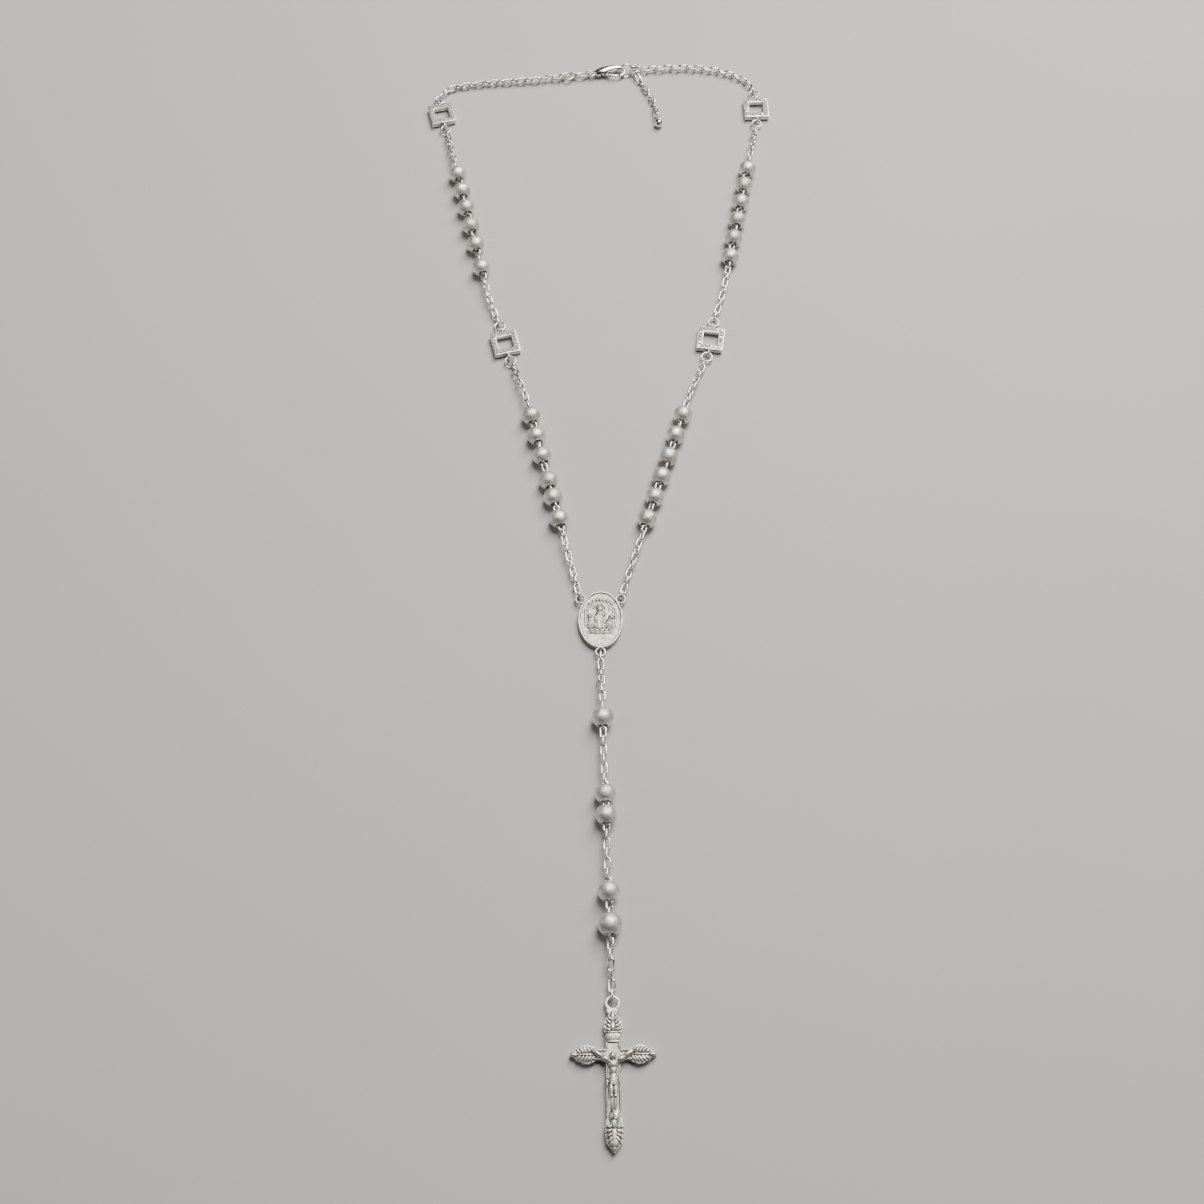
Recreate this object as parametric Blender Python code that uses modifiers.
# Rosary necklace lying flat: a medal with a neck loop above it and a drop with a crucifix below it.
# Metres, +Z up.  The origin is the middle of the medal's flat back, which rests on z = 0.
# +Y runs up the loop to the clasp, and headings are degrees to the left of +Y.

import math

import bmesh
import bpy
from mathutils import Matrix, Vector

MM = 0.001

# Beads, each bored so that it slides on its chain
BEAD_D = 5.7 * MM
FIRST_DROP_BEAD_D = 6.0 * MM
LAST_DROP_BEAD_D = 6.4 * MM
BEAD_BORE_CLEARANCE = 0.3 * MM
BEAD_TRAVEL = 6.0 * MM

# Chain, modelled as the envelope that its links turn in
CHAIN_W = 2.1 * MM
RING_R = 1.6 * MM
END_LINK_R = 1.15 * MM
WIRE_R = 0.28 * MM
CHAIN_LIE_Z = 1.1 * MM
LINK_SLACK = 0.1 * MM
EYE_LINK_SLACK = 0.3 * MM
NEXT_WIRE_IN = 0.7 * MM

# Medal
MEDAL_W = 12.7 * MM
MEDAL_H = 17.74 * MM
MEDAL_T = 1.9 * MM
MEDAL_RIM = 0.75 * MM
MEDAL_RECESS = 0.35 * MM
MEDAL_EYE_ANGLE = 48.4

# Flat eyelets of the medal and the crucifix
EYE_HOLE_R = 0.95 * MM
EYE_BAND = 0.68 * MM
EYE_T = 0.7 * MM
EYE_Z = 1.5 * MM
EYE_BITE = 0.4 * MM

# Square stations with an upright loop at top and bottom
STATION_SIDE = 8.2 * MM
STATION_BAND = 1.7 * MM
STATION_T = 1.7 * MM
LOOP_R = 0.95 * MM
LOOP_WIRE_R = 0.3 * MM
LOOP_STAND = 1.0 * MM

# Neck loop: stretches of chain between the medal, the stations and the clasp.
# Each side gives the heading and length of its two straight stretches, the heading of the
# station above them, the place of the first bead and the free gaps between the six beads.
LOWER_SIDES = {
    "left": {"stretches": ((14.0, 73.0 * MM), (20.85, 14.5 * MM)), "station": 14.0,
             "first_bead": 26.4 * MM, "gaps": (1.8, 0.2, 3.2, 1.6, 1.7)},
    "right": {"stretches": ((-17.2, 74.0 * MM), (-21.6, 16.3 * MM)), "station": -8.0,
              "first_bead": 26.8 * MM, "gaps": (2.1, 1.6, 1.6, 2.2, 1.9)},
}
UPPER_SIDES = {
    "left": {"stretches": ((20.0, 12.5 * MM), (13.4, 75.7 * MM)), "station": 14.0,
             "first_bead": 24.7 * MM, "gaps": (4.0, 2.2, 2.0, 1.6, 1.7)},
    "right": {"stretches": ((-17.0, 13.0 * MM), (-10.97, 75.2 * MM)), "station": 2.0,
              "first_bead": 27.2 * MM, "gaps": (2.0, 2.0, 1.7, 1.7, 1.5)},
}

# Back of the neck, laid out on one line from the tail ring to the bail
TAIL_RING_AT = Vector((-10.1, 11.1, 0.0)) * MM
BACK_HEADING = -82.0
LEFT_BACK_HEADING = -8.0
RIGHT_BACK_HEADING = 6.0
BACK_STEPS = 11
EXTENSION_STEPS = 9
BACK_Z = 1.6 * MM
BACK_PULLS = (7.0 * MM, 24.0 * MM)
TAIL_CHAIN_L = 3.0 * MM
CLASP_LENGTH = 12.0 * MM
CLASP_R = 1.45 * MM
CLASP_HOOK_R = 0.6 * MM
CLASP_EYE_LAP = 0.15 * MM
CLASP_RIVET_AT = (4.0 * MM, -0.35 * MM)
CLASP_SLOT = (5.4 * MM, 3.4 * MM)
CLASP_SLOT_AT = (5.6 * MM, -1.35 * MM)
CLASP_EYE_HOLE_R = 0.8 * MM
CLASP_EYE_BAND = 0.55 * MM
LEVER_R = 0.5 * MM
LEVER_GAP = 0.3 * MM
RIVET_R = 0.32 * MM
RIVET_CLEARANCE = 0.05 * MM
HOOK_RING_R = 2.1 * MM
HOOK_RING_TILT = 45.0
HOOK_RING_AHEAD = 0.75 * MM
HOOK_RING_SIDE = 0.4 * MM
HOOK_RING_LIFT = 0.1 * MM
BAIL_HOLE_R = 1.1 * MM
BAIL_BAND = 0.55 * MM
BAIL_T = 1.0 * MM
BAIL_LINK_IN = 0.5 * MM
EXTENSION_HEADING = -158.0
EXTENSION_END_HEADING = -172.0
EXTENSION_PULLS = (6.0 * MM, 9.0 * MM)
EXTENSION_SPAN = Vector((6.4, -16.8, 0.0)) * MM
END_BALL_D = 2.9 * MM
END_EYE_HOLE_R = 0.9 * MM
END_EYE_BAND = 0.45 * MM
END_EYE_T = 0.6 * MM

# Drop: places are measured along it from the medal's lower eyelet
DROP_HEADING = 181.8
DROP_LENGTH = 97.26 * MM
FIRST_DROP_BEAD = 20.4 * MM
DROP_GAPS = (16.1, 0.2, 15.0, 2.5)

# Crucifix, measured from the crossing of its arms
CROSS_HEADING = 0.7
CROSS_T = 1.9 * MM
CROSS_UP = 12.54 * MM
CROSS_DOWN = 23.1 * MM
CROSS_ARM = 10.8 * MM
SHAFT_W = 3.7 * MM
LEAF_L = 6.6 * MM
LEAF_W = 4.4 * MM
ARM_SHARE_OF_SHAFT = 0.73
SIDE_LEAF_SHARE = 0.8
TOP_LEAF_DOWN = 7.54 * MM
TOP_LEAF_L = 4.7 * MM
BOTTOM_LEAF_UP = 8.3 * MM
BOTTOM_LEAF_L = 6.4 * MM
SIDE_LEAF_END = 0.9 * MM
BOTTOM_LEAF_END = 1.7 * MM
SIDE_TIP = 0.15 * MM
BOTTOM_TIP = 0.2 * MM
LEAF_STEP = 0.1 * MM
SCALLOP = 0.16 * MM
NECK_W = 2.0 * MM
CROSS_EYE_HOLE_R = 1.3 * MM
CROSS_EYE_BAND = 0.7 * MM
CORPUS_GAP = 0.3 * MM
CORPUS_T = 1.3 * MM
CORPUS_H = 15.6 * MM
CORPUS_SPAN = 11.4 * MM
CORPUS_HEAD_R = 0.9 * MM
CORPUS_HEAD_LIFT = 0.1 * MM

# Roundness of the plain solids
BEAD_SIDES = 12
BEAD_ARC = 6
RING_SIDES = 12
WIRE_SIDES = 6
OVAL_SIDES = 28
EYE_SIDES = 12
LOBES = 4

TINY = 0.001 * MM


def clear_scene():
    for old in list(bpy.data.objects):
        bpy.data.objects.remove(old, do_unlink=True)


def make_collection(name):
    collection = bpy.data.collections.new(name)
    bpy.context.scene.collection.children.link(collection)
    return collection


def make_material(name, color, metallic, roughness):
    material = bpy.data.materials.new(name)
    material.use_nodes = True
    shader = material.node_tree.nodes["Principled BSDF"]
    shader.inputs["Base Color"].default_value = (*color, 1.0)
    shader.inputs["Metallic"].default_value = metallic
    shader.inputs["Roughness"].default_value = roughness
    material.diffuse_color = (*color, 1.0)
    return material


clear_scene()
PARTS = make_collection("rosary")
CUTTERS = make_collection("cutters")
BEAD_SILVER = make_material("bead_silver", (0.62, 0.61, 0.56), 1.0, 0.35)
CHAIN_SILVER = make_material("chain_silver", (0.72, 0.72, 0.70), 1.0, 0.25)
CAST_SILVER = make_material("cast_silver", (0.70, 0.70, 0.66), 1.0, 0.32)


def along(heading):
    """Unit vector for a heading in the table's plane."""
    turn = math.radians(heading)
    return Vector((-math.sin(turn), math.cos(turn), 0.0))


def lift(point, z):
    return Vector((point.x, point.y, z))


def place(obj, location, heading=0.0, tip=0.0):
    obj.location = location
    obj.rotation_euler = (math.radians(tip), 0.0, math.radians(heading))


def new_object(name, mesh, material, collection=None):
    obj = bpy.data.objects.new(name, mesh)
    (collection or PARTS).objects.link(obj)
    if material is not None and not mesh.materials:
        mesh.materials.append(material)
    return obj


def as_tool(obj):
    obj.hide_render = True
    obj.display_type = "WIRE"
    return obj


def combine(obj, tool, operation):
    """Boolean that stays on the object; the tool is a hidden guide."""
    modifier = obj.modifiers.new(operation.lower(), "BOOLEAN")
    modifier.operation = operation
    modifier.solver = "EXACT"
    modifier.object = as_tool(tool)
    tool.parent = obj
    tool.matrix_parent_inverse = obj.matrix_basis.inverted()


def turned(name, profile, sides, material, collection=None):
    """Closed profile of (radius, height) pairs, outer side first and downwards, turned round Z."""
    mesh = bpy.data.meshes.new(name)
    points = [(radius, 0.0, height) for radius, height in profile]
    edges = [(i, (i + 1) % len(points)) for i in range(len(points))]
    mesh.from_pydata(points, edges, [])
    obj = new_object(name, mesh, material, collection)
    screw = obj.modifiers.new("turn", "SCREW")
    screw.axis = "Z"
    screw.steps = sides
    screw.render_steps = sides
    screw.use_merge_vertices = True
    screw.merge_threshold = 0.01 * MM
    return obj


def ring(name, radius, wire, material, collection=None, sides=RING_SIDES):
    """Round wire ring about its own Z axis."""
    section = [(radius + wire * math.cos(turn), wire * math.sin(turn))
               for turn in (-2.0 * math.pi * (i + 0.5) / WIRE_SIDES for i in range(WIRE_SIDES))]
    return turned(name, section, sides, material, collection)


def eyelet(name, hole, band, height, collection=None):
    """Flat ring about its own Z axis."""
    half = height / 2.0
    return turned(name, [(hole + band, half), (hole + band, -half), (hole, -half), (hole, half)],
                  EYE_SIDES, None, collection)


def tube(name, points, radii, material, collection=None):
    """Wire or chain envelope through the points, with its loose caps welded."""
    curve = bpy.data.curves.new(name, "CURVE")
    curve.dimensions = "3D"
    curve.bevel_depth = 1.0
    curve.bevel_resolution = 2
    curve.use_fill_caps = True
    spline = curve.splines.new("POLY")
    spline.points.add(len(points) - 1)
    for node, point, radius in zip(spline.points, points, radii):
        node.co = (*point, 1.0)
        node.radius = radius
    guide = bpy.data.objects.new(name + "_guide", curve)
    CUTTERS.objects.link(guide)
    return mesh_of(guide, name, material, collection)


def mesh_of(guide, name, material, collection=None):
    """A curve made a mesh with welded caps, in the curve's own place."""
    bpy.context.view_layer.update()
    evaluated = guide.evaluated_get(bpy.context.evaluated_depsgraph_get())
    mesh = bpy.data.meshes.new_from_object(evaluated)
    mesh.name = name
    shell = bmesh.new()
    shell.from_mesh(mesh)
    bmesh.ops.remove_doubles(shell, verts=shell.verts, dist=TINY)
    bmesh.ops.recalc_face_normals(shell, faces=shell.faces)
    shell.to_mesh(mesh)
    shell.free()
    obj = new_object(name, mesh, material, collection)
    obj.matrix_world = guide.matrix_world
    bpy.data.objects.remove(guide, do_unlink=True)
    return obj


def plate(name, outlines, height, material, collection=None):
    """Flat outlines, the inner ones being holes, as thick as height and standing on z = 0."""
    curve = bpy.data.curves.new(name, "CURVE")
    curve.dimensions = "2D"
    curve.fill_mode = "BOTH"
    curve.extrude = height / 2.0
    for outline in outlines:
        spline = curve.splines.new("POLY")
        spline.points.add(len(outline) - 1)
        for node, point in zip(spline.points, outline):
            node.co = (point[0], point[1], 0.0, 1.0)
        spline.use_cyclic_u = True
    guide = bpy.data.objects.new(name + "_guide", curve)
    guide.location.z = height / 2.0
    CUTTERS.objects.link(guide)
    return mesh_of(guide, name, material, collection)


def ball(name, radius, location, collection):
    mesh = bpy.data.meshes.new(name)
    shell = bmesh.new()
    bmesh.ops.create_uvsphere(shell, u_segments=BEAD_SIDES, v_segments=8, radius=radius)
    shell.to_mesh(mesh)
    shell.free()
    obj = new_object(name, mesh, None, collection)
    obj.location = location
    return obj


def box(name, size):
    mesh = bpy.data.meshes.new(name)
    shell = bmesh.new()
    bmesh.ops.create_cube(shell, size=1.0)
    bmesh.ops.scale(shell, vec=size, verts=shell.verts)
    shell.to_mesh(mesh)
    shell.free()
    return new_object(name, mesh, None, CUTTERS)


def pin(name, radius, height, location, collection, material=None):
    mesh = bpy.data.meshes.new(name)
    shell = bmesh.new()
    bmesh.ops.create_cone(shell, cap_ends=True, segments=RING_SIDES,
                          radius1=radius, radius2=radius, depth=height)
    shell.to_mesh(mesh)
    shell.free()
    obj = new_object(name, mesh, material, collection)
    obj.location = location
    return obj


FRAMES = {}


def pivot(name, spot, parent=None, across=0.0):
    """Empty on a joint's axis; its own X lies along a hinge line that is turned from +X."""
    empty = bpy.data.objects.new(name, None)
    empty.empty_display_size = 3.0 * MM
    PARTS.objects.link(empty)
    empty.location = spot
    empty.rotation_euler.z = across
    FRAMES[name] = Matrix.Translation(spot) @ Matrix.Rotation(across, 4, "Z")
    if parent is not None:
        hang(parent, empty)


def hinge_line(name, left, right, z, parent=None):
    """Pivot halfway between the two points that a hinge line runs through."""
    span = right - left
    pivot(name, lift((left + right) / 2.0, z), parent, math.atan2(span.y, span.x))


def hang(pivot_name, *pieces):
    """Parent pieces to a pivot and leave them where they lie."""
    for piece in pieces:
        piece.parent = bpy.data.objects[pivot_name]
        piece.matrix_parent_inverse = FRAMES[pivot_name].inverted()


def bead(name, diameter, location, heading):
    """Bored ball whose own Z axis, the bore, lies along the heading."""
    radius = diameter / 2.0
    bore = CHAIN_W / 2.0 + BEAD_BORE_CLEARANCE
    start = math.asin(bore / radius)
    step = (math.pi - 2.0 * start) / BEAD_ARC
    arc = [(radius * math.sin(start + i * step), radius * math.cos(start + i * step))
           for i in range(BEAD_ARC + 1)]
    obj = turned(name, arc, BEAD_SIDES, BEAD_SILVER)
    place(obj, location, heading, -90.0)
    return obj


def bead_places(first, gaps, diameters):
    """Distances of the bead centres along a run, from the first place and the free gaps."""
    places = [first]
    for gap, before, after in zip(gaps, diameters, diameters[1:]):
        places.append(places[-1] + gap * MM + (before + after) / 2.0)
    return places


def walk(start, stretches, distance):
    """Point and heading at a distance along a run of straight stretches."""
    point = Vector(start)
    for heading, length in stretches[:-1]:
        if distance <= length:
            return point + along(heading) * distance, heading
        point = point + along(heading) * length
        distance -= length
    heading = stretches[-1][0]
    return point + along(heading) * distance, heading


def add_link(run, label, middle, radius, heading, upright):
    """Round end link fused to a chain, flat on the table's plane or upright along the heading."""
    link = ring(run.name + "_" + label, radius, WIRE_R, None, CUTTERS)
    place(link, middle, heading + (90.0 if upright else 0.0), 90.0 if upright else 0.0)
    combine(run, link, "UNION")


def chain_run(name, start, stretches, ends, bead_z, zone):
    """Chain between two rings: low at both ends and at bead height through its bead zone.

    Each end is (gap from the run's end to the ring's middle, ring radius, height, upright).
    """
    length = sum(stretch[1] for stretch in stretches)
    half = CHAIN_W / 2.0
    first_gap, first_radius, first_z, _ = ends[0]
    last_gap, last_radius, last_z, _ = ends[1]
    rise = zone[0]
    fall = zone[1]
    marks = [(first_gap + first_radius, first_z), (rise, bead_z), (fall, bead_z),
             (length - last_gap - last_radius, last_z)]
    bend = stretches[0][1]
    if len(stretches) > 1:
        before, after = max(m for m in marks if m[0] < bend), min(m for m in marks if m[0] > bend)
        share = (bend - before[0]) / (after[0] - before[0])
        marks.append((bend, before[1] + share * (after[1] - before[1])))
    marks.sort()
    points = [lift(walk(start, stretches, d)[0], z) for d, z in marks]
    run = tube(name, points, [half] * len(points), CHAIN_SILVER)
    for label, distance, end in (("start_link", first_gap, ends[0]),
                                 ("end_link", length - last_gap, ends[1])):
        point, heading = walk(start, stretches, distance)
        add_link(run, label, lift(point, end[2]), end[1], heading, end[3])
    return run


def bead_group(prefix, start, stretches, first, gaps, diameters, bead_z):
    beads = []
    for number, distance in enumerate(bead_places(first, gaps, diameters)):
        point, heading = walk(start, stretches, distance)
        beads.append(bead(prefix + "_" + str(number + 1), diameters[number], lift(point, bead_z), heading))
    return beads


# ---------------------------------------------------------------- medal

def oval(width, height, sides):
    return [(width / 2.0 * math.cos(2.0 * math.pi * i / sides),
             height / 2.0 * math.sin(2.0 * math.pi * i / sides)) for i in range(sides)]


def medal_eye(angle):
    """Middle of an eyelet's hole, just outside the medal's edge in the given direction."""
    turn = math.radians(angle)
    reach = 1.0 / math.hypot(math.cos(turn) / (MEDAL_W / 2.0), math.sin(turn) / (MEDAL_H / 2.0))
    reach += EYE_HOLE_R + EYE_BAND - EYE_BITE
    return Vector((reach * math.cos(turn), reach * math.sin(turn), 0.0))


def make_medal():
    medal = plate("medal", [oval(MEDAL_W, MEDAL_H, OVAL_SIDES)], MEDAL_T, CAST_SILVER)
    inner = oval(MEDAL_W - 2.0 * MEDAL_RIM, MEDAL_H - 2.0 * MEDAL_RIM, OVAL_SIDES)
    recess = plate("medal_recess", [inner], 2.0 * MEDAL_RECESS, None, CUTTERS)
    recess.location.z = MEDAL_T
    combine(medal, recess, "DIFFERENCE")
    for label, angle in (("left", 180.0 - MEDAL_EYE_ANGLE), ("right", MEDAL_EYE_ANGLE), ("bottom", 270.0)):
        eye = eyelet("medal_eye_" + label, EYE_HOLE_R, EYE_BAND, EYE_T, CUTTERS)
        place(eye, lift(medal_eye(angle), EYE_Z))
        combine(medal, eye, "UNION")


# ---------------------------------------------------------------- stations and the neck loop

def make_station(name, middle, heading):
    half = STATION_SIDE / 2.0
    hole = half - STATION_BAND
    square = [(half, half), (-half, half), (-half, -half), (half, -half)]
    window = [(hole, hole), (-hole, hole), (-hole, -hole), (hole, -hole)]
    station = plate(name, [square, window], STATION_T, CAST_SILVER)
    place(station, lift(middle, LOOP_R + LOOP_WIRE_R), heading)
    for label, side in (("top", 1.0), ("bottom", -1.0)):
        loop = ring(name + "_" + label + "_loop", LOOP_R, LOOP_WIRE_R, None, CUTTERS, 12)
        spot = middle + along(heading) * side * (half + LOOP_STAND)
        place(loop, lift(spot, LOOP_R + LOOP_WIRE_R), heading + 90.0, 90.0)
        combine(station, loop, "UNION")
    return station


def zone_of(first, gaps, diameters):
    """Stretch that the beads of a group sweep, with a little to spare."""
    places = bead_places(first, gaps, diameters)
    spare = BEAD_TRAVEL + 0.5 * MM
    return (places[0] - diameters[0] / 2.0 - spare, places[-1] + diameters[-1] / 2.0 + spare)


def make_side(level, side, plan, start, first_end):
    """One stretch of the neck loop: its chain, six beads and the station that it leads to."""
    loop_z = LOOP_R + LOOP_WIRE_R
    diameters = [BEAD_D] * 6
    bead_z = BEAD_D / 2.0
    zone = zone_of(plan["first_bead"], plan["gaps"], diameters)
    name = level + "_" + side
    ends = (first_end, (RING_R + LINK_SLACK, RING_R, loop_z, False))
    chain = chain_run(name + "_chain", start, plan["stretches"], ends, bead_z, zone)
    beads = bead_group(name + "_bead", start, plan["stretches"], plan["first_bead"], plan["gaps"],
                       diameters, bead_z)
    foot = walk(start, plan["stretches"], sum(stretch[1] for stretch in plan["stretches"]))[0]
    reach = STATION_SIDE / 2.0 + LOOP_STAND
    heading = plan["station"]
    station = make_station(name + "_station", foot + along(heading) * reach, heading)
    return {"strung": [chain] + beads, "station": station, "foot": foot,
            "top": foot + along(heading) * 2.0 * reach}


def make_neck_loop():
    """Both sides of the loop, level by level, each level hung on the hinge line below it."""
    loop_z = LOOP_R + LOOP_WIRE_R
    band = EYE_HOLE_R + EYE_BAND / 2.0
    starts = {"left": medal_eye(180.0 - MEDAL_EYE_ANGLE), "right": medal_eye(MEDAL_EYE_ANGLE)}
    first_end = (band, END_LINK_R, EYE_Z, True)
    lines = {side: starts[side] + along(LOWER_SIDES[side]["stretches"][0][0]) * band for side in starts}
    line_z = EYE_Z
    below = None
    for level, plans in (("lower", LOWER_SIDES), ("upper", UPPER_SIDES)):
        sides = {side: make_side(level, side, plans[side], starts[side], first_end) for side in starts}
        hinge_line(level + "_loop_fold", lines["left"], lines["right"], line_z, below)
        hang(level + "_loop_fold", *sides["left"]["strung"], *sides["right"]["strung"])
        hinge_line(level + "_station_fold", sides["left"]["foot"], sides["right"]["foot"], loop_z,
                   level + "_loop_fold")
        hang(level + "_station_fold", sides["left"]["station"], sides["right"]["station"])
        below = level + "_station_fold"
        starts = {side: sides[side]["top"] for side in sides}
        lines = starts
        line_z = loop_z
        first_end = (RING_R + LINK_SLACK, RING_R, loop_z, False)
    return starts


# ---------------------------------------------------------------- back of the neck

def bezier(a, b, c, d, steps):
    points = []
    for i in range(steps + 1):
        t = i / steps
        points.append(a * (1 - t) ** 3 + b * 3 * t * (1 - t) ** 2 + c * 3 * t * t * (1 - t) + d * t ** 3)
    return points


def back_chain(name, loop_spot, first_heading, end, last_heading):
    """Chain from a station's top loop round to an upright end link by the clasp."""
    ring_middle = loop_spot + along(first_heading) * (RING_R + LINK_SLACK)
    start = lift(ring_middle + along(first_heading) * RING_R, CHAIN_LIE_Z)
    stop = lift(end - along(last_heading) * END_LINK_R, BACK_Z)
    points = bezier(start, start + along(first_heading) * BACK_PULLS[0],
                    stop - along(last_heading) * BACK_PULLS[1], stop, BACK_STEPS)
    run = tube(name, points, [CHAIN_W / 2.0] * len(points), CHAIN_SILVER)
    add_link(run, "station_link", lift(ring_middle, LOOP_R + LOOP_WIRE_R), RING_R, first_heading, False)
    add_link(run, "clasp_link", lift(end, BACK_Z), END_LINK_R, last_heading, True)
    return run


def make_clasp(tail, heading):
    """Lobster clasp: origin at the tail's hole, u along the heading and v to its left."""
    u_axis = along(heading)
    v_axis = along(heading + 90.0)

    def at(u, v, z=BACK_Z):
        return lift(tail + u_axis * u + v_axis * v, z)

    end = CLASP_LENGTH - CLASP_HOOK_R
    spine = [(CLASP_EYE_HOLE_R + CLASP_EYE_LAP, 0.0, 0.6 * MM), (2.0 * MM, 0.25 * MM, 1.0 * MM),
             (3.4 * MM, 0.5 * MM, CLASP_R), (5.0 * MM, 0.8 * MM, CLASP_R),
             (7.2 * MM, 1.4 * MM, 1.2 * MM), (end - 2.4 * MM, 1.6 * MM, 0.95 * MM),
             (end - 1.0 * MM, 1.35 * MM, 0.7 * MM), (end - 0.15 * MM, 0.5 * MM, CLASP_HOOK_R),
             (end, -0.4 * MM, CLASP_HOOK_R), (end - 0.3 * MM, -1.4 * MM, 0.55 * MM),
             (end - 1.2 * MM, -2.1 * MM, 0.5 * MM), (end - 2.0 * MM, -2.3 * MM, 0.42 * MM)]
    body = tube("clasp_body", [at(u, v) for u, v, _ in spine], [r for _, _, r in spine], CAST_SILVER)
    eye = eyelet("clasp_eye", CLASP_EYE_HOLE_R, CLASP_EYE_BAND, EYE_T, CUTTERS)
    place(eye, at(0.0, 0.0))
    combine(body, eye, "UNION")

    rivet_at = at(*CLASP_RIVET_AT)
    slot_half = LEVER_R + LEVER_GAP
    slot = box("clasp_slot", (*CLASP_SLOT, 2.0 * slot_half))
    place(slot, at(*CLASP_SLOT_AT), heading + 90.0)
    combine(body, slot, "DIFFERENCE")
    rivet_length = 2.0 * CLASP_R
    hole = pin("clasp_rivet_hole", RIVET_R + RIVET_CLEARANCE, 2.0 * rivet_length, rivet_at, CUTTERS)
    combine(body, hole, "DIFFERENCE")
    rivet = pin("clasp_rivet", RIVET_R, rivet_length * 0.9, rivet_at, PARTS, CAST_SILVER)

    gate = [(3.5 * MM, -0.2 * MM, LEVER_R), (5.6 * MM, -1.35 * MM, LEVER_R),
            (7.4 * MM, -2.0 * MM, LEVER_R), (end - 2.0 * MM - LEVER_GAP, -2.3 * MM, 0.42 * MM)]
    lever = tube("clasp_lever", [at(u, v) for u, v, _ in gate], [r for _, _, r in gate], CAST_SILVER)
    bore = pin("clasp_lever_bore", RIVET_R + 2.0 * RIVET_CLEARANCE, 2.0 * rivet_length, rivet_at, CUTTERS)
    boss = pin("clasp_lever_boss", RIVET_R * 2.1, 1.7 * LEVER_R, rivet_at, CUTTERS)
    combine(lever, boss, "UNION")
    combine(lever, bore, "DIFFERENCE")
    hook = at(end, -0.4 * MM)
    pivot("clasp_roll", at(0.0, 0.0), "back_fold", math.atan2((hook - tail).y, (hook - tail).x))
    hang("clasp_roll", body, rivet)
    pivot("lever_hinge", rivet_at, "clasp_roll")
    hang("lever_hinge", lever)


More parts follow.
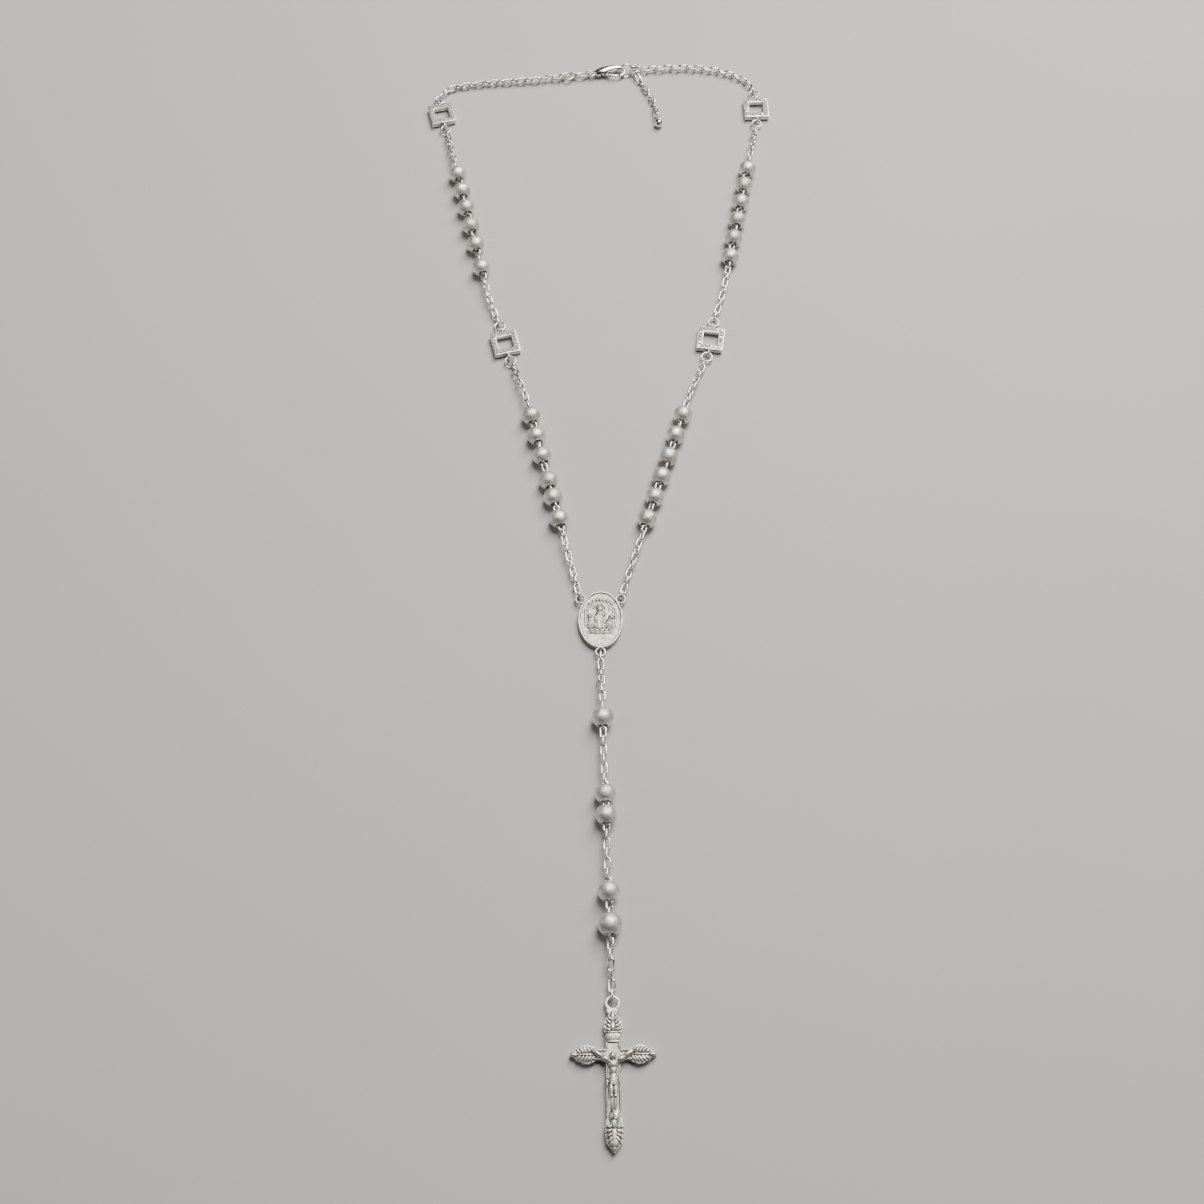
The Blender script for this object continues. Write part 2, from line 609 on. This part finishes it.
def make_back(tops):
    """Chains round the neck, the clasp between them and the extension chain that hangs into the loop."""
    middle = (tops["left"] + tops["right"]) / 2.0
    direction = along(BACK_HEADING)
    hinge_line("back_fold", tops["left"], tops["right"], LOOP_R + LOOP_WIRE_R, "upper_station_fold")
    tail_ring_at = middle + TAIL_RING_AT
    wire_slack = RING_R + EYE_LINK_SLACK
    left = back_chain("back_left_chain", tops["left"], LEFT_BACK_HEADING,
                      tail_ring_at - direction * wire_slack, BACK_HEADING)
    tail_ring = ring("tail_ring", RING_R, WIRE_R, CHAIN_SILVER)
    place(tail_ring, lift(tail_ring_at, BACK_Z))

    first = wire_slack
    last = first + 2.0 * END_LINK_R + TAIL_CHAIN_L
    tail_chain = tube("tail_chain", [lift(tail_ring_at + direction * d, BACK_Z)
                                     for d in (first + END_LINK_R, last - END_LINK_R)],
                      [CHAIN_W / 2.0] * 2, CHAIN_SILVER)
    for label, distance in (("first", first), ("last", last)):
        add_link(tail_chain, label, lift(tail_ring_at + direction * distance, BACK_Z), END_LINK_R,
                 BACK_HEADING, True)

    clasp_tail = tail_ring_at + direction * (last + CLASP_EYE_HOLE_R + CLASP_EYE_BAND / 2.0)
    make_clasp(clasp_tail, BACK_HEADING)

    side = along(BACK_HEADING - 90.0) * HOOK_RING_SIDE
    hook_bar = clasp_tail + direction * (CLASP_LENGTH - CLASP_HOOK_R)
    hook_ring_at = hook_bar + direction * HOOK_RING_AHEAD + side
    hook_ring = ring("hook_ring", HOOK_RING_R, WIRE_R, CHAIN_SILVER)
    place(hook_ring, lift(hook_ring_at, BACK_Z + HOOK_RING_LIFT), BACK_HEADING + 90.0, 90.0 - HOOK_RING_TILT)

    bail_at = hook_ring_at + direction * (HOOK_RING_R + BAIL_LINK_IN)
    bail = eyelet("bail", BAIL_HOLE_R, BAIL_BAND, BAIL_T)
    bail.data.materials.append(CHAIN_SILVER)
    place(bail, lift(bail_at, BACK_Z))

    link_reach = BAIL_LINK_IN + END_LINK_R
    right = back_chain("back_right_chain", tops["right"], RIGHT_BACK_HEADING,
                       bail_at + direction * link_reach, BACK_HEADING + 180.0)
    hang("back_fold", left, right, tail_ring, tail_chain, hook_ring, bail)
    out = along(EXTENSION_HEADING)
    start_link = bail_at + out * link_reach
    start = lift(start_link + out * END_LINK_R, BACK_Z)
    stop = start + EXTENSION_SPAN
    droop = along(EXTENSION_END_HEADING)
    points = bezier(start, start + out * EXTENSION_PULLS[0], stop - droop * EXTENSION_PULLS[1], stop,
                    EXTENSION_STEPS)
    ball_z = END_BALL_D / 2.0
    for i, point in enumerate(points):
        points[i] = lift(point, CHAIN_LIE_Z if 0 < i < len(points) - 1 else (BACK_Z if i == 0 else ball_z))
    extension = tube("extension_chain", points, [CHAIN_W / 2.0] * len(points), CHAIN_SILVER)
    add_link(extension, "first", lift(start_link, BACK_Z), END_LINK_R, EXTENSION_HEADING, True)
    last_link = lift(stop + droop * END_LINK_R, ball_z)
    add_link(extension, "last", last_link, END_LINK_R, EXTENSION_END_HEADING, True)

    eye_at = last_link + droop * (END_EYE_HOLE_R + END_EYE_BAND / 2.0)
    end_ball = ball("end_ball", END_BALL_D / 2.0,
                    eye_at + droop * (END_EYE_HOLE_R + END_EYE_BAND / 2.0 + END_BALL_D / 2.0), PARTS)
    end_ball.data.materials.append(BEAD_SILVER)
    end_eye = eyelet("end_ball_eye", END_EYE_HOLE_R, END_EYE_BAND, END_EYE_T, CUTTERS)
    place(end_eye, eye_at)
    combine(end_ball, end_eye, "UNION")
    pivot("extension_swing", lift(bail_at + out * BAIL_LINK_IN, BACK_Z), "back_fold")
    hang("extension_swing", extension)
    pivot("end_ball_swing", last_link, "extension_swing")
    hang("end_ball_swing", end_ball)


# ---------------------------------------------------------------- drop

def make_drop():
    start = medal_eye(270.0)
    stretches = ((DROP_HEADING, DROP_LENGTH),)
    low_z = RING_R + WIRE_R
    band = EYE_HOLE_R + EYE_BAND / 2.0
    link_at = band + EYE_LINK_SLACK
    near_wire = link_at + NEXT_WIRE_IN
    direction = along(DROP_HEADING)
    drop_link = ring("drop_link", RING_R, WIRE_R, CHAIN_SILVER)
    place(drop_link, lift(start + direction * link_at, low_z), DROP_HEADING + 90.0, 90.0)
    diameters = [FIRST_DROP_BEAD_D, BEAD_D, BEAD_D, BEAD_D, LAST_DROP_BEAD_D]
    bead_z = max(diameters) / 2.0
    zone = zone_of(FIRST_DROP_BEAD, DROP_GAPS, diameters)
    cross_band = CROSS_EYE_HOLE_R + CROSS_EYE_BAND / 2.0
    ring_at = DROP_LENGTH - cross_band - EYE_LINK_SLACK
    far_wire = ring_at - NEXT_WIRE_IN
    ends = ((near_wire + RING_R, RING_R, low_z, False),
            (DROP_LENGTH - far_wire + RING_R, RING_R, low_z, False))
    chain = chain_run("drop_chain", start, stretches, ends, bead_z, zone)
    beads = bead_group("drop_bead", start, stretches, FIRST_DROP_BEAD, DROP_GAPS, diameters, bead_z)
    crucifix_ring = ring("crucifix_ring", RING_R, WIRE_R, CHAIN_SILVER)
    place(crucifix_ring, lift(start + direction * ring_at, low_z), DROP_HEADING + 90.0, 90.0)

    across = math.radians(DROP_HEADING - 180.0)
    pivot("drop_swing", lift(start + direction * band, EYE_Z))
    hang("drop_swing", drop_link)
    pivot("drop_fold", lift(start + direction * near_wire, low_z), "drop_swing", across)
    hang("drop_fold", chain, *beads)
    pivot("crucifix_swing", lift(start + direction * far_wire, low_z), "drop_fold")
    hang("crucifix_swing", crucifix_ring)
    pivot("crucifix_fold", lift(start + direction * (DROP_LENGTH - cross_band), EYE_Z), "crucifix_swing",
          math.radians(CROSS_HEADING))
    return start + direction * DROP_LENGTH


# ---------------------------------------------------------------- crucifix

def leaf(start, length, root, belly, end):
    """Half widths along a leaf: it swells between root and end, with a scalloped edge."""
    steps = LOBES * 3
    rows = []
    for i in range(steps + 1):
        t = i / steps
        width = root + (end - root) * t + (belly - (root + end) / 2.0) * math.sin(math.pi * t)
        rows.append((start + length * t, width + SCALLOP * abs(math.sin(math.pi * LOBES * t))))
    return rows


def arm_outline(angle, rows):
    """Outline of an arm from its root, along its right side to the tip and back along its left."""
    turn = math.radians(angle)
    out = (math.cos(turn), math.sin(turn))
    across = (-out[1], out[0])
    right = [(u * out[0] - w * across[0], u * out[1] - w * across[1]) for u, w in rows]
    left = [(u * out[0] + w * across[0], u * out[1] + w * across[1]) for u, w in reversed(rows)]
    return right + left


def cross_outline():
    shaft = SHAFT_W / 2.0
    arm = shaft * ARM_SHARE_OF_SHAFT
    belly = LEAF_W / 2.0
    leaf_start = CROSS_ARM - LEAF_L
    side_rows = [(shaft, arm)] + leaf(leaf_start, LEAF_L * SIDE_LEAF_SHARE, arm, belly, SIDE_LEAF_END)
    side_rows.append((CROSS_ARM, SIDE_TIP))
    neck = NECK_W / 2.0
    top_leaf = CROSS_UP - TOP_LEAF_DOWN
    top_rows = [(top_leaf - LEAF_STEP, shaft)] + leaf(top_leaf, TOP_LEAF_L, shaft, belly, neck)
    top_rows.append((CROSS_UP - CROSS_EYE_HOLE_R - CROSS_EYE_BAND / 2.0, neck))
    bottom_leaf = CROSS_DOWN - BOTTOM_LEAF_UP
    bottom_rows = [(bottom_leaf - LEAF_STEP, shaft)]
    bottom_rows += leaf(bottom_leaf, BOTTOM_LEAF_L, shaft * 0.9, belly, BOTTOM_LEAF_END)
    bottom_rows.append((CROSS_DOWN, BOTTOM_TIP))
    outline = []
    for angle, rows in ((0.0, side_rows), (90.0, top_rows), (180.0, side_rows), (270.0, bottom_rows)):
        outline += arm_outline(angle, rows)
    return outline


def corpus_outline():
    """Right half of the figure from the neck out along the arm and down to the feet, mirrored."""
    span = CORPUS_SPAN / 2.0
    down = CORPUS_H
    neck_and_arm = [(0.45 * MM, -0.6 * MM), (2.2 * MM, 0.0), (span, 1.5 * MM), (span + 0.1 * MM, 0.7 * MM),
                    (2.6 * MM, -0.85 * MM), (1.35 * MM, -2.0 * MM)]
    trunk_and_legs = [(0.95 * MM, -0.27 * down), (1.2 * MM, -0.36 * down), (1.15 * MM, -0.52 * down),
                      (0.85 * MM, -0.7 * down), (0.5 * MM, -0.84 * down), (0.45 * MM, -0.93 * down)]
    half = neck_and_arm + trunk_and_legs
    return half + [(-x, y) for x, y in reversed(half)]


def make_crucifix(eye_at):
    down = along(CROSS_HEADING)
    crossing = eye_at - down * CROSS_UP
    cross = plate("cross", [cross_outline()], CROSS_T, CAST_SILVER)
    place(cross, lift(crossing, CROSS_T / 2.0), CROSS_HEADING)
    eye = eyelet("cross_eye", CROSS_EYE_HOLE_R, CROSS_EYE_BAND, EYE_T, CUTTERS)
    place(eye, lift(eye_at, EYE_Z))
    combine(cross, eye, "UNION")
    corpus = plate("corpus", [corpus_outline()], CORPUS_T, CAST_SILVER)
    base = CROSS_T + CORPUS_GAP
    place(corpus, lift(crossing, base + CORPUS_T / 2.0), CROSS_HEADING)
    head_z = base + CORPUS_HEAD_R + CORPUS_HEAD_LIFT
    head = ball("corpus_head", CORPUS_HEAD_R, lift(crossing, head_z), CUTTERS)
    combine(corpus, head, "UNION")
    hang("crucifix_fold", cross, corpus)


make_medal()
TOPS = make_neck_loop()
make_back(TOPS)
make_crucifix(make_drop())
